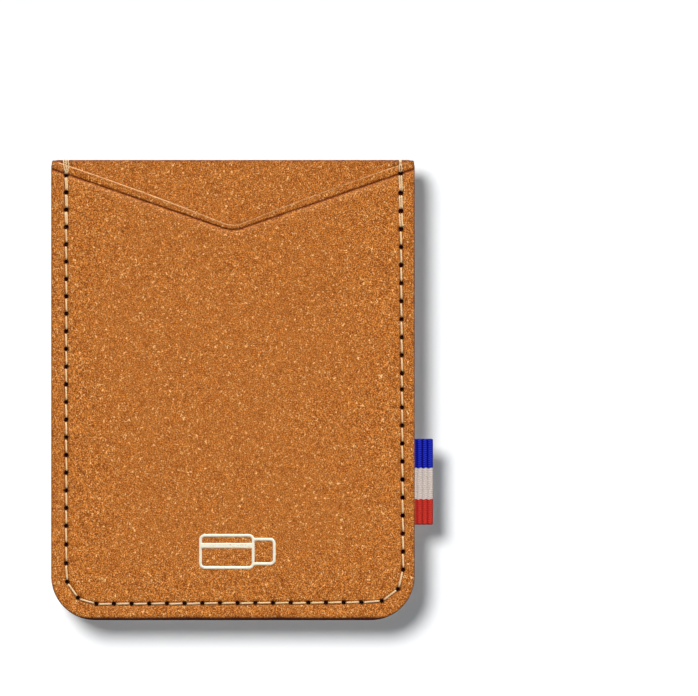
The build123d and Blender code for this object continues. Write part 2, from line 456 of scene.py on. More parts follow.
def crease_relief(points):
    """Depth of the line pressed below the mouth: steep on its upper side and gentle on its lower side."""
    slope = math.atan((MOUTH_DEPTH + CREASE_DROP_MIDDLE - CREASE_DROP) / side)
    above = (points[:, 1] - crease_height(points[:, 0])) * math.cos(slope)
    upper = np.exp(-((np.maximum(above, 0) / CREASE_ABOVE) ** 2))
    lower = np.exp(-((np.minimum(above, 0) / CREASE_BELOW) ** 2))
    return CREASE_DEPTH * np.where(above > 0, upper, lower)


def front_surface(points):
    """y of the front panel's outer face, before its edges are rounded."""
    from_seam = distance_to_line(points, seam_line, closed=False)
    crown = CROWN * (1 - np.exp(-from_seam / 4.0))
    waves = 0.035 * ripple(points, 14.0, 3.0) + 0.012 * ripple(points, 2.5, 8.0)
    return face_y - crown - waves + stitch_relief(points) + crease_relief(points)


def crease_group():
    """Extra points beside the pressed line."""
    x = np.linspace(-side, side, 260)
    offsets = (0.32, 0.18, 0.10, 0.04, -0.04, -0.16, -0.30, -0.48, -0.70)
    return np.vstack([np.stack([x, crease_height(x) + offset], axis=1) for offset in offsets]), 0.05


def along_bottom(points, edge):
    """1 beside the straight bottom edge, and down to 0 as the outline turns up into a corner."""
    return np.exp(-np.maximum(points[:, 1] - bottom - edge, 0) / 0.6)


def dark_places(points, edge, has_seam):
    """How dark the leather is, from 0 to 1: burnt cut edges and holes, with painted shade at the rims and
    beside the stitches.
    """
    # Dark rims: partly the burnt edge, partly painted shade where the rounded edge turns from the light.
    rim = 0.55 * np.exp(-edge / 0.09) + 0.24 * np.exp(-edge / 0.26)
    # The dark band along the bottom: the burnt edge, and painted shade under the rounded bottom edge.
    width = 0.84 * along_bottom(points, edge) - 0.10 + 0.10 * ripple(points, 5.0, 4.0)
    dark = np.maximum(rim, np.clip((width - edge) / 0.42, 0, 1))
    if has_seam:
        at_hole = np.maximum(hole_gap(points), 0)
        # Thin lines of painted shade beside the thread.
        beside = (distance_to_line(points, seam_line, closed=False) - 0.26) / 0.09
        groove = (0.42 + 0.25 * ripple(points, 1.2, 10.0)) * np.exp(-(beside**2))
        dark = np.maximum(dark, np.maximum(1.1 * np.exp(-at_hole / 0.06), groove))
    return np.clip(dark, 0, 1)


def leather_sheet(name, outline, openings, groups, spacing, front, back, round_front, round_back, marks=()):
    """A leather layer whose outer edges are rounded, burnt and darkened with painted shade. Its marks are
    (attribute, function) pairs.
    """
    points, triangles = triangulate(outline, openings, groups, spacing)
    edge = distance_to_line(points, outline, closed=True)
    front_y = front(points) + rim_drop(edge, round_front(points, edge))
    back_y = back(points) - rim_drop(edge, round_back(points, edge))
    piece = sheet(name, points, triangles, front_y, back_y, 5, 0.03)
    dark = dark_places(points, edge, bool(openings))
    # The walls are burnt all over. The faces are burnt at the edges and holes, with painted shade at the rims
    # and stitches.
    burn_and_shade = np.ones(len(piece.data.vertices))
    burn_and_shade[: len(points)] = dark
    burn_and_shade[len(points) : 2 * len(points)] = dark
    set_attribute(piece, "burn_and_shade", burn_and_shade)
    for mark, amount in marks:
        values = np.zeros(len(burn_and_shade))
        values[: len(points)] = amount(points)
        set_attribute(piece, mark, values)
    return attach(piece, "wallet")


def even_round(radius):
    """An edge that is rounded alike all round."""
    return lambda points, edge: np.full(len(points), radius)


def front_round(points, edge):
    """The front panel's worn edge: rounder along the bottom, and crisp along the V."""
    share = along_bottom(points, edge)
    mouth = mouth_height(points[:, 0]) - points[:, 1] < 1
    return np.where(mouth, MOUTH_ROUND, EDGE_ROUND + (BOTTOM_ROUND - EDGE_ROUND) * share)


def constant(value):
    """A flat surface at one y."""
    return lambda points: np.full(len(points), value)


def mouth_highlight(points):
    """Painted highlight along the V-cut edge, most on its left arm, and a fainter painted highlight below the
    pressed line.
    """
    x = points[:, 0]
    edge = mouth_height(x) - points[:, 1]
    arm = np.where(x < 0, 0.65 + 0.45 * np.clip((-x - 6) / 6, 0, 1), 0.48)
    # Painted highlight on the V-cut edge, broken up by noise.
    fibres = arm * np.exp(-((edge / 0.15) ** 2)) * (0.85 + 0.4 * ripple(points, 1.6, 5.0))
    # A fainter painted highlight on the lower side of the pressed line.
    below = crease_height(x) - points[:, 1] - 0.55
    lip_highlight = 0.07 * np.exp(-((below / 0.35) ** 2)) * (1 + ripple(points, 2.0, 7.0))
    return fibres + lip_highlight


def painted_crease_shade(points):
    """How much painted shade darkens the leather along the pressed line."""
    above = points[:, 1] - crease_height(points[:, 0]) + 0.03 * ripple(points, 0.8, 6.0)
    return np.exp(-((above / 0.18) ** 2)) * np.clip(0.9 + 0.5 * ripple(points, 1.5, 9.0), 0, 1)


def make_front_panel():
    """The outer leather, with the V-cut mouth and the pressed line."""
    piece = leather_sheet(
        "leather_front",
        body_outline(0.3, mouth=True),
        hole_loops(),
        seam_groups() + [crease_group()],
        0.55,
        front_surface,
        constant(inner_front_y),
        front_round,
        even_round(INNER_ROUND),
        # A painted highlight along the V-cut edge, and painted shade along the pressed line.
        (("painted_highlight", mouth_highlight), ("crease_shade", painted_crease_shade)),
    )
    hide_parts("front_panel")
    return piece


def make_back_panel():
    """The leather behind the card, whose rear face has the other side of the seam."""
    piece = leather_sheet(
        "leather_back",
        body_outline(0.3),
        hole_loops(),
        seam_groups(),
        0.8,
        constant(inner_back_y),
        lambda points: rear_y - stitch_relief(points) + 0.01 * ripple(points, 6.0, 2.0),
        even_round(0.12),
        even_round(EDGE_ROUND),
    )
    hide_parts("back_panel")
    return piece


def make_spacer():
    """The U-shaped layer between the panels, with a notch for the ribbon."""
    edge = side - 0.10
    notch_x = tails_low.x - 0.15
    notch_low, notch_high = tails_low.z - 0.15, tails_high.z + 0.15
    outline = rounded_outline(
        [
            (-edge, bottom + 0.10, BOTTOM_RADIUS),
            (edge, bottom + 0.10, BOTTOM_RADIUS),
            (edge, notch_low, 0.1),
            (notch_x, notch_low, 0.1),
            (notch_x, notch_high, 0.1),
            (edge, notch_high, 0.1),
            (edge, top - 0.08, 0.3),
            (SLOT_HALF_WIDTH, top - 0.08, 0.3),
            (SLOT_HALF_WIDTH, bottom + SPACER_BOTTOM, 3.2),
            (-SLOT_HALF_WIDTH, bottom + SPACER_BOTTOM, 3.2),
            (-SLOT_HALF_WIDTH, top - 0.08, 0.3),
            (-edge, top - 0.08, 0.3),
        ],
        0.4,
    )
    piece = leather_sheet(
        "leather_spacer",
        outline,
        [],
        [],
        1.2,
        constant(inner_front_y),
        constant(inner_back_y),
        even_round(INNER_ROUND),
        even_round(INNER_ROUND),
    )
    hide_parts("seam_spacer")
    return piece


# ---- Thread ----------------------------------------------------------------------------


def smooth_path(points, spacing):
    """A rounded path through points, as a Catmull-Rom curve sampled at about the spacing."""
    points = np.asarray(points, float)
    padded = np.vstack([2 * points[0] - points[1], points, 2 * points[-1] - points[-2]])
    samples = []
    for i in range(1, len(padded) - 2):
        a, b, c, d = padded[i - 1 : i + 3]
        count = max(2, math.ceil(np.linalg.norm(c - b) / spacing))
        t = (np.arange(count) / count)[:, None]
        curve = 2 * b + (c - a) * t + (2 * a - 5 * b + 4 * c - d) * t**2 + (3 * b - a - 3 * c + d) * t**3
        samples.append(curve / 2)
    samples.append(points[-1:])
    return np.vstack(samples)


def cord(path, radius, plies=3):
    """A twisted thread, whose plies are tubes that wind round the path: points, their depths and faces."""
    along = np.gradient(path, axis=0)
    along /= np.linalg.norm(along, axis=1)[:, None]
    run = np.concatenate([[0], np.cumsum(np.linalg.norm(np.diff(path, axis=0), axis=1))])
    across = np.empty_like(path)
    start = np.cross(along[0], (0.3, 0.9, 0.2))
    across[0] = start / np.linalg.norm(start)
    for i in range(1, len(path)):
        step = across[i - 1] - along[i] * (across[i - 1] @ along[i])
        across[i] = step / np.linalg.norm(step)
    third = np.cross(along, across)
    radius = np.broadcast_to(radius, len(path))[:, None]
    ply_radius = radius * PLY_SHARE
    count = len(path)
    points, depths, faces = [], [], []
    for ply in range(plies):
        turn = 2 * math.pi * (run / THREAD_TWIST + ply / plies)[:, None]
        centre = (across * np.cos(turn) + third * np.sin(turn)) * (radius - ply_radius)
        first = sum(len(p) for p in points)
        for k in range(PLY_SIDES):
            angle = turn + 2 * math.pi * k / PLY_SIDES
            offset = centre + (across * np.cos(angle) + third * np.sin(angle)) * ply_radius
            points.append(path + offset)
            depths.append(1 - np.linalg.norm(offset, axis=1) / radius[:, 0])
        for k in range(PLY_SIDES):
            a, b = first + k * count, first + (k + 1) % PLY_SIDES * count
            faces += [(a + i, a + i + 1, b + i + 1, b + i) for i in range(count - 1)]
        faces.append([first + k * count for k in reversed(range(PLY_SIDES))])
        faces.append([first + k * count + count - 1 for k in range(PLY_SIDES)])
    return np.vstack(points), np.concatenate(depths), faces


def join_cords(name, cords):
    """One piece from several cords."""
    points, depths, faces, first = [], [], [], 0
    for cord_points, cord_depths, cord_faces in cords:
        points.append(cord_points)
        depths.append(cord_depths)
        faces += [[first + i for i in face] for face in cord_faces]
        first += len(cord_points)
    piece = add_piece(name, np.vstack(points), faces)
    set_attribute(piece, "depth", np.concatenate(depths))
    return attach(piece, "wallet")


def stitch(start, end, surface_y, outward, meeting_y, shift=0.0, slant=0.0):
    """Path of one stitch: up out of one hole, along the surface, and down into the next."""
    along = end - start
    length = np.linalg.norm(along)
    along = along / length
    across = np.array([-along[1], along[0]])
    # (distance from the hole's centre, height above the surface), and None where the two threads meet
    rise = [(0.15, None), (0.22, -0.85), (0.32, -0.48), (0.42, -0.18), (0.60, 0.05), (0.90, 0.14)]
    fall = [(length - run, height) for run, height in reversed(rise)]
    path = []
    for run, height in rise + [(length / 2, 0.16)] + fall:
        place = start + along * run + across * (shift + slant * (run / length - 0.5))
        y = meeting_y if height is None else surface_y + outward * height
        path.append((place[0], y, place[1]))
    return path


def sewn_cord(path, surface_y, outward, radius):
    """Thread along a path of stitches, drawn thinner where it goes down into a hole."""
    path = smooth_path(path, 0.10)
    height = (path[:, 1] - surface_y) * outward
    return cord(path, radius * (0.70 + 0.30 * np.clip((height + 0.30) / 0.42, 0, 1)))


def seam_thread(surface_y, outward, meeting_y, radius, slant, room_left, room_right):
    """The whole run of one thread of the seam. It makes room for the second run of the tacked stitches."""
    path = []
    last = len(holes) - 2
    for i, (start, end) in enumerate(zip(holes[:-1], holes[1:])):
        shift = room_left if i < TACK_STITCHES else -room_right if i > last - TACK_STITCHES else 0
        wander = 0.05 * noise.noise(Vector((i * 0.9, outward * 3.0, 0.5)))
        path += stitch(start, end, surface_y, outward, meeting_y, shift + wander, slant)
    return sewn_cord(path, surface_y, outward, radius)


def tack(end_holes, surface_y, outward, meeting_y, radius, room):
    """The second run of thread over the stitches at one end of the seam."""
    path = []
    for start, end in zip(end_holes[:-1], end_holes[1:]):
        path += stitch(start, end, surface_y, outward, meeting_y, shift=-room, slant=0.14)
    return sewn_cord(path, surface_y, outward, radius)


def wrap(hole, fan, top_fan, radius):
    """One strand from an end hole, over the top edge and down to the same hole at the back."""
    x, z = hole
    middle_x, top_x = x + fan, x + top_fan
    path = [
        # out of the hole and up the front face
        (x + fan * 0.5, face_y + 1.0, z + 0.05),
        (x + fan * 0.6, face_y + 0.45, z + 0.16),
        (x + fan * 0.8, face_y + 0.12, z + 0.38),
        (middle_x, face_y - 0.02, z + 0.85),
        (top_x, face_y + 0.05, z + 1.55),
        # over the top edge
        (top_x, face_y + 0.26, top - 0.30),
        (top_x, face_y + 0.80, top - 0.14),
        (top_x, middle_y, top - 0.08),
        (top_x, rear_y - 0.55, top - 0.11),
        (top_x, rear_y - 0.04, top - 0.26),
        # down the rear face and into the hole
        (middle_x, rear_y + 0.04, z + 1.30),
        (x + fan * 0.6, rear_y + 0.02, z + 0.55),
        (x + fan * 0.4, rear_y - 0.14, z + 0.25),
        (x + fan * 0.3, rear_y - 0.80, z + 0.10),
    ]
    return cord(smooth_path(path, 0.10), radius, plies=2)


def make_threads():
    """The needle thread on the front, with its sewn-over ends, and the bobbin thread on the back."""
    surface = face_y + CHANNEL_DEPTH
    meeting = middle_y - MEETING_OFFSET
    cords = [seam_thread(surface, -1, meeting, THREAD_RADIUS, 0.08, TACK_ROOM_LEFT, TACK_ROOM_RIGHT)]
    left_fans = ((-0.20, -0.42), (0.06, -0.02), (0.26, 0.36))  # (on the face, over the top edge)
    right_fans = ((-0.22, -0.16), (0.20, 0.06))
    ends = ((holes, left_fans, TACK_ROOM_LEFT), (holes[::-1], right_fans, TACK_ROOM_RIGHT))
    for end_holes, fans, room in ends:
        tacked = end_holes[: TACK_STITCHES + 1]
        cords.append(tack(tacked, surface, -1, meeting, THREAD_RADIUS * 0.85, room))
        cords += [wrap(end_holes[0], fan, top_fan, THREAD_RADIUS * 0.8) for fan, top_fan in fans]
    needle = join_cords("thread_needle", cords)
    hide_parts("needle_thread")
    meeting = middle_y + MEETING_OFFSET
    bobbin_run = seam_thread(rear_y - CHANNEL_DEPTH, 1, meeting, THREAD_RADIUS * 0.95, -0.08, 0, 0)
    bobbin = join_cords("thread_bobbin", [bobbin_run])
    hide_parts("bobbin_thread")
    return needle, bobbin


# ---- Ribbon ----------------------------------------------------------------------------


def ribbon_course():
    """The strip seen from above, from one tail round the fold to the other: places, normals and run."""
    start_x = tails_low.x
    fold_radius = RIBBON_LAYER / 2 + FOLD_GAP
    fold_x = loop_high.x - RIBBON_LAYER / 2 - RIB_HEIGHT - fold_radius
    straight = fold_x - start_x
    turn = math.pi * fold_radius
    run = np.arange(0, 2 * straight + turn, 0.05)
    on_fold = np.clip((run - straight) / fold_radius, 0, math.pi)
    leg = np.where(run < straight, run, np.clip(2 * straight + turn - run, 0, straight))
    outward = np.stack([np.sin(on_fold), -np.cos(on_fold)], axis=1)
    places = np.stack([start_x + leg, np.full(len(run), flex_y)], axis=1) + fold_radius * outward
    return places, outward, run - straight - RIB_SHIFT


def ribbon_heights():
    """Heights of the strip's rows of points, close together at its two edges."""
    low, high = tails_low.z, tails_high.z
    near_edge = np.array([0, 0.03, 0.08, 0.16, 0.30])
    between = np.linspace(low + 0.55, high - 0.55, 54)
    return np.concatenate([low + near_edge, between, (high - near_edge)[::-1]])


def make_ribbon():
    """One folded strip, from its tails inside the seam, round the fold, and back."""
    places, outward, run = ribbon_course()
    heights = ribbon_heights()
    rib = np.abs(np.sin(math.pi * run / RIB_PITCH)) ** 0.8
    from_edge = np.minimum(heights - heights[0], heights[-1] - heights)
    plump = np.sqrt(np.clip(1 - (1 - np.clip(from_edge / 0.16, 0, 1)) ** 2, 0.02, 1))
    upper_half = heights > (heights[0] + heights[-1]) / 2
    scallop = np.where(upper_half, 1, -1) * np.exp(-from_edge / 0.5)
    points, along = [], []
    for z, full, wave in zip(heights, plump, scallop):
        level = z + 0.05 * wave * rib
        outer = places + outward * (RIBBON_LAYER / 2 + RIB_HEIGHT * rib)[:, None] * full
        inner = places - outward * (RIBBON_LAYER / 2) * full
        points.append(np.column_stack([outer, level]))
        points.append(np.column_stack([inner, level])[::-1])
        along += [run, run[::-1]]
    ring = 2 * len(run)
    faces = []
    for row in range(len(heights) - 1):
        a, b = row * ring, (row + 1) * ring
        faces += [(a + i, a + (i + 1) % ring, b + (i + 1) % ring, b + i) for i in range(ring)]
    for row, flip in ((0, True), (len(heights) - 1, False)):
        a = row * ring
        for i in range(len(run) - 1):
            cap = (a + i, a + i + 1, a + ring - 2 - i, a + ring - 1 - i)
            faces.append(cap[::-1] if flip else cap)
    piece = add_piece("ribbon_strip", np.vstack(points), faces)
    set_attribute(piece, "run", np.concatenate(along))
    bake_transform(piece)
    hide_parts("ribbon_tails", "ribbon_loop")
    return piece


# ---- Adhesive and foil -----------------------------------------------------------------


def make_adhesive():
    """The film that sticks the wallet to a phone."""
    corners = [
        (sheet_low.x, sheet_low.z, ADHESIVE_RADIUS),
        (sheet_high.x, sheet_low.z, ADHESIVE_RADIUS),
        (sheet_high.x, sheet_high.z, ADHESIVE_RADIUS),
        (sheet_low.x, sheet_high.z, ADHESIVE_RADIUS),
    ]
    outline = rounded_outline(corners, 0.4)
    points, triangles = triangulate(outline, [], [], 1.0)
    edge = distance_to_line(points, outline, closed=True)
    outer = sheet_high.y - rim_drop(edge, 0.08) + 0.012 * ripple(points, 5.0, 1.0) - 0.012
    piece = sheet("adhesive_film", points, triangles, np.full(len(points), rear_y), outer, 3, 0.02)
    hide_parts("adhesive_sheet")
    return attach(piece, "wallet")


def inside(points, segments):
    """Whether each point is inside the closed loops made by the segments."""
    (x1, z1), (x2, z2) = segments[:, 0].T, segments[:, 1].T
    crossed = (z1 > points[:, 1:]) != (z2 > points[:, 1:])
    rise = np.where(z1 == z2, 1.0, z2 - z1)
    at = x1 + (points[:, 1:] - z1) * (x2 - x1) / rise
    return (crossed & (points[:, :1] < at)).sum(axis=1) % 2 == 1


def make_foil():
    """The stamped mark: the front faces of the CAD foil, laid on the leather's own surface."""
    mesh = frame["nodes"]["foil_mark"].data
    uses = {}
    for face in mesh.polygons:
        if face.normal.y > -0.9:
            continue
        corners = [tuple(round(value * METRE, 4) for value in mesh.vertices[i].co.xz) for i in face.vertices]
        for a, b in zip(corners, corners[1:] + corners[:1]):
            uses[min(a, b), max(a, b)] = uses.get((min(a, b), max(a, b)), 0) + 1
    segments = np.array([edge for edge, count in uses.items() if count == 1])
    places, edges = {}, []
    for segment in segments:
        line = divide(segment, FOIL_SPACING, closed=False).round(4).tolist()
        run = [places.setdefault(tuple(point), len(places)) for point in line]
        edges += list(zip(run[:-1], run[1:]))
    outline = np.array(list(places))
    low, high = outline.min(axis=0), outline.max(axis=0)
    grid = hex_grid(FOIL_SPACING)
    grid = grid[((grid > low) & (grid < high)).all(axis=1)]
    grid = grid[inside(grid, segments)]
    points = keep_apart([(outline, 0), (grid, FOIL_SPACING / 2)])
    found, _, triangles, *_ = geometry.delaunay_2d_cdt([Vector(p) for p in points], edges, [], 0, 1e-7)
    points = np.array([tuple(p) for p in found])
    triangles = np.array(triangles)
    triangles = triangles[inside(points[triangles].mean(axis=1), segments)]
    leather_y = front_surface(points)
    piece = sheet("foil_stamp", points, triangles, leather_y - 0.02, leather_y + 0.03, 1)
    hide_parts("foil_mark")
    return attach(piece, "wallet")


# ---- Materials -------------------------------------------------------------------------


def new_material(name, finish):
    """A material whose shader has the finish's inputs. Returns it, its node tree and its shader."""
    material = bpy.data.materials.new(name)
    material.use_nodes = True
    tree = material.node_tree
    shader = tree.nodes["Principled BSDF"]
    for key, value in finish.items():
        shader.inputs[key].default_value = value
    return material, tree, shader


def add(tree, kind, inputs=None, **settings):
    """A shader node with its settings and inputs. An input is a value or another node's output."""
    item = tree.nodes.new("ShaderNode" + kind)
    for key, value in settings.items():
        setattr(item, key, value)
    for key, value in (inputs or {}).items():
        if isinstance(value, bpy.types.NodeSocket):
            tree.links.new(value, item.inputs[key])
        else:
            item.inputs[key].default_value = value
    return item


def position_mm(tree):
    """The place on the piece at rest, in millimetres."""
    place = add(tree, "TexCoord").outputs["Object"]
    return add(tree, "VectorMath", {0: place, "Scale": METRE}, operation="SCALE").outputs[0]


def noise_value(tree, vector, scale, detail=2.0, roughness=0.5, distortion=0.0):
    inputs = {
        "Vector": vector,
        "Scale": scale,
        "Detail": detail,
        "Roughness": roughness,
        "Distortion": distortion,
    }
    return add(tree, "TexNoise", inputs).outputs[0]


def ramp(tree, value, stops):
    """A colour ramp from (position, colour) stops."""
    item = add(tree, "ValToRGB", {"Fac": value})
    elements = item.color_ramp.elements
    while len(elements) < len(stops):
        elements.new(0.5)
    for element, (place, colour) in zip(elements, stops):
        element.position = place
        element.color = (*colour, 1)
    return item.outputs["Color"]


def math_node(tree, operation, a, b=0.5, clamp=False):
    return add(tree, "Math", {0: a, 1: b}, operation=operation, use_clamp=clamp).outputs[0]


def sine(tree, value, pitch):
    """A wave whose length is the pitch, of a value in millimetres."""
    return math_node(tree, "SINE", math_node(tree, "MULTIPLY", value, 2 * math.pi / pitch))


def remap(tree, value, low, high, to_low=0.0, to_high=1.0):
    """A smooth step from to_low, where the value is low, to to_high, where it is high."""
    inputs = {"Value": value, "From Min": low, "From Max": high, "To Min": to_low, "To Max": to_high}
    return add(tree, "MapRange", inputs, interpolation_type="SMOOTHSTEP").outputs["Result"]


def mix_colour(tree, share, a, b, blend="MIX"):
    item = add(tree, "Mix", {0: share}, data_type="RGBA", blend_type=blend)
    for socket, value in ((item.inputs[6], a), (item.inputs[7], b)):
        if isinstance(value, bpy.types.NodeSocket):
            tree.links.new(value, socket)
        else:
            socket.default_value = (*value, 1)
    return item.outputs[2]


def bump(tree, height, strength, distance_mm, normal=None):
    inputs = {"Height": height, "Strength": strength, "Distance": distance_mm / METRE}
    if normal is not None:
        inputs["Normal"] = normal
    return add(tree, "Bump", inputs).outputs["Normal"]


def attribute(tree, name):
    """A number that set_attribute() has put on the mesh."""
    return add(tree, "Attribute", attribute_name=name).outputs["Fac"]


def leather_material():
    """Tan bonded leather: mottled, with pale flecks, dark specks, burnt cut edges, painted shade at rims,
    stitches and crease, and a painted highlight on the V.
    """
    material, tree, shader = new_material("bonded_leather", {"Specular IOR Level": 0.15})
    place = position_mm(tree)
    mottle = noise_value(tree, place, 0.8, 4.0, 0.6, 0.4)
    grain = noise_value(tree, place, 7.0, 1.0, 0.6, 0.45)
    coarse = math_node(tree, "MULTIPLY", mottle, 0.14)
    fine = math_node(tree, "MULTIPLY", grain, 0.86)
    tone = math_node(tree, "ADD", coarse, fine)
    tans = [(0.405, (0.226, 0.049, 0.0027)), (0.500, (0.408, 0.101, 0.0090)), (0.575, (0.830, 0.307, 0.0540))]
    colour = ramp(tree, tone, tans)
    flecks = remap(tree, noise_value(tree, place, 2.9, 1.0, 0.5, 1.2), 0.63, 0.71)
    colour = mix_colour(tree, flecks, colour, (1.0, 0.60, 0.23))
    pits = remap(tree, noise_value(tree, place, 2.6, 1.0, 0.5, 0.8), 0.29, 0.35, 1.0, 0.0)
    colour = mix_colour(tree, math_node(tree, "MULTIPLY", pits, 0.60), colour, (0.14, 0.026, 0.005))
    # Painted shade along the pressed line, in dark red-brown.
    crease_shade = math_node(tree, "MULTIPLY", attribute(tree, "crease_shade"), 0.85)
    colour = mix_colour(tree, crease_shade, colour, (0.17, 0.016, 0.004))
    # Browns of the burnt edges and holes, which also colour the painted shade at the rims and beside the
    # stitches.
    fibre = noise_value(tree, place, 4.0, 3.0, 0.7)
    browns = [(0.30, (0.028, 0.003, 0.002)), (0.62, (0.062, 0.014, 0.006)), (0.80, (0.22, 0.085, 0.03))]
    burnt = ramp(tree, fibre, browns)
    # Painted highlight in pale cream along the V-cut edge and below the pressed line.
    painted_highlight = math_node(tree, "MULTIPLY", attribute(tree, "painted_highlight"), 0.85, clamp=True)
    # Burnt edges and painted shade, less where the painted highlight lies.
    burn_and_shade = math_node(tree, "SUBTRACT", attribute(tree, "burn_and_shade"), painted_highlight, clamp=True)
    colour = mix_colour(tree, burn_and_shade, colour, burnt)
    colour = mix_colour(tree, painted_highlight, colour, (1.0, 0.62, 0.30))
    tree.links.new(colour, shader.inputs["Base Color"])
    relief = math_node(tree, "ADD", tone, math_node(tree, "MULTIPLY", flecks, 0.15))
    rough = bump(tree, noise_value(tree, place, 8.0, 2.0, 0.6), 0.25, 0.02)
    tree.links.new(bump(tree, relief, 0.55, 0.10, rough), shader.inputs["Normal"])
    tree.links.new(remap(tree, tone, 0.4, 0.7, 0.72, 0.55), shader.inputs["Roughness"])
    return material


def thread_material():
    """Cream thread: fine fibres, painted shade between the plies, and painted shade where it goes down into
    the holes.
    """
    material, tree, shader = new_material("cream_thread", {"Roughness": 0.62})
    place = position_mm(tree)
    _, y, z = add(tree, "SeparateXYZ", {0: place}).outputs
    fibre = noise_value(tree, place, 9.0, 3.0, 0.65)
    creams = [(0.30, (0.76, 0.43, 0.19)), (0.50, (1.0, 0.71, 0.37)), (0.70, (1.0, 0.90, 0.60))]
    colour = ramp(tree, fibre, creams)
    # Painted shade between the plies.
    between = remap(tree, attribute(tree, "depth"), 0.25, 0.65, 0.0, 0.80)
    colour = mix_colour(tree, between, colour, (0.22, 0.10, 0.04))
    # Painted shade on the thread where it goes below the leather's faces, into the holes.
    behind_face = remap(tree, y, face_y + 0.12, face_y + 0.32)
    before_rear = remap(tree, y, rear_y - 0.32, rear_y - 0.12, 1.0, 0.0)
    shaded_in_hole = math_node(tree, "MULTIPLY", behind_face, before_rear)
    below_top = remap(tree, z, top - 0.7, top - 0.3, 1.0, 0.0)
    shaded_in_hole = math_node(tree, "MULTIPLY", shaded_in_hole, below_top)
    colour = mix_colour(tree, shaded_in_hole, colour, HOLE_SHADE)
    tree.links.new(colour, shader.inputs["Base Color"])
    tree.links.new(bump(tree, fibre, 0.5, 0.03), shader.inputs["Normal"])
    # No gloss in the painted hole shade.
    tree.links.new(remap(tree, shaded_in_hole, 0.0, 1.0, 0.4, 0.0), shader.inputs["Specular IOR Level"])
    tree.links.new(remap(tree, shaded_in_hole, 0.0, 1.0, 0.25, 0.0), shader.inputs["Sheen Weight"])
    return material


def ribbon_material():
    """Ribbed ribbon in three stripes with wavy borders, yarns across the ribs, painted yarn highlights, and
    painted shade in the seam.
    """
    finish = {"Roughness": 0.60, "Specular IOR Level": 0.05}
    material, tree, shader = new_material("striped_ribbon", finish)
    place = position_mm(tree)
    x, _, z = add(tree, "SeparateXYZ", {0: place}).outputs
    run = attribute(tree, "run")
    wobble = math_node(tree, "MULTIPLY", sine(tree, run, RIB_PITCH), 0.07)
    yarn_line = math_node(tree, "ADD", z, wobble)
    low, high = tails_low.z, tails_high.z
    blue_share = remap(tree, yarn_line, high - BLUE_HEIGHT - 0.03, high - BLUE_HEIGHT + 0.03)
    red_share = remap(tree, yarn_line, low + RED_HEIGHT - 0.03, low + RED_HEIGHT + 0.03, 1.0, 0.0)
    yarns = sine(tree, yarn_line, YARN_PITCH)
    # Painted highlights on the blue yarns: paler blue on their tops, deeper blue between them.
    blue = mix_colour(tree, remap(tree, yarns, -1.0, 1.0), (0.004, 0.010, 0.40), (0.022, 0.036, 0.55))
    colour = mix_colour(tree, blue_share, (0.69, 0.59, 0.53), blue)
    colour = mix_colour(tree, red_share, colour, (0.61, 0.035, 0.023))
    rib = math_node(tree, "ABSOLUTE", sine(tree, run, 2 * RIB_PITCH))
    in_groove = remap(tree, rib, 0.0, 1.0, 1.0, 0.0)
    shadow = mix_colour(tree, blue_share, (0.57, 0.49, 0.45), (0.0, 0.0, 0.13))
    shadow = mix_colour(tree, red_share, shadow, (0.36, 0.018, 0.012))
    colour = mix_colour(tree, in_groove, colour, shadow)
    yarn_shade = remap(tree, yarns, -1.0, 1.0, 0.86, 1.05)
    mottled = remap(tree, noise_value(tree, place, 5.0, 2.0), 0.3, 0.7, 0.82, 1.16)
    shade = math_node(tree, "MULTIPLY", yarn_shade, mottled)
    grey = add(tree, "CombineColor", {0: shade, 1: shade, 2: shade}).outputs[0]
    colour = mix_colour(tree, 1.0, colour, grey, "MULTIPLY")
    # Painted shade where the ribbon goes into the seam.
    shaded_in_seam = remap(tree, x, side - 1.0, side - 0.4, 1.0, 0.0)
    colour = mix_colour(tree, shaded_in_seam, colour, HOLE_SHADE)
    tree.links.new(colour, shader.inputs["Base Color"])
    tree.links.new(bump(tree, yarns, 0.35, 0.03), shader.inputs["Normal"])
    return material


def adhesive_material():
    """Milky adhesive film with a soft gloss, the carrier's fibres and a few trapped bubbles."""
    finish = {"Roughness": 0.32, "Coat Weight": 0.4, "Coat Roughness": 0.18}
    material, tree, shader = new_material("adhesive_film", finish)
    place = position_mm(tree)
    fibres = noise_value(tree, place, 0.9, 4.0, 0.6, 2.5)
    colour = ramp(tree, fibres, [(0.35, (0.74, 0.71, 0.63)), (0.60, (0.86, 0.84, 0.78))])
    bubble = add(tree, "TexVoronoi", {"Vector": place, "Scale": 0.16}, feature="F1").outputs["Distance"]
    bubbles = remap(tree, bubble, 0.06, 0.09, 1.0, 0.0)
    colour = mix_colour(tree, math_node(tree, "MULTIPLY", bubbles, 0.35), colour, (0.52, 0.36, 0.22))
    tree.links.new(colour, shader.inputs["Base Color"])
    tree.links.new(bump(tree, fibres, 0.25, 0.05), shader.inputs["Normal"])
    return material


def foil_material():
    """Matt cream foil, thin enough to take the leather's grain and break up a little over it."""
    material, tree, shader = new_material("cream_foil", {"Roughness": 0.42, "Metallic": 0.15})
    place = position_mm(tree)
    grain = noise_value(tree, place, 3.2, 2.0, 0.6, 0.8)
    creams = [(0.28, (0.85, 0.66, 0.42)), (0.42, (1.0, 0.93, 0.72)), (0.70, (1.0, 0.98, 0.84))]
    colour = ramp(tree, grain, creams)
    tree.links.new(colour, shader.inputs["Base Color"])
    tree.links.new(bump(tree, grain, 0.4, 0.06), shader.inputs["Normal"])
    return material


def paint(piece, material):
    piece.data.materials.clear()
    piece.data.materials.append(material)


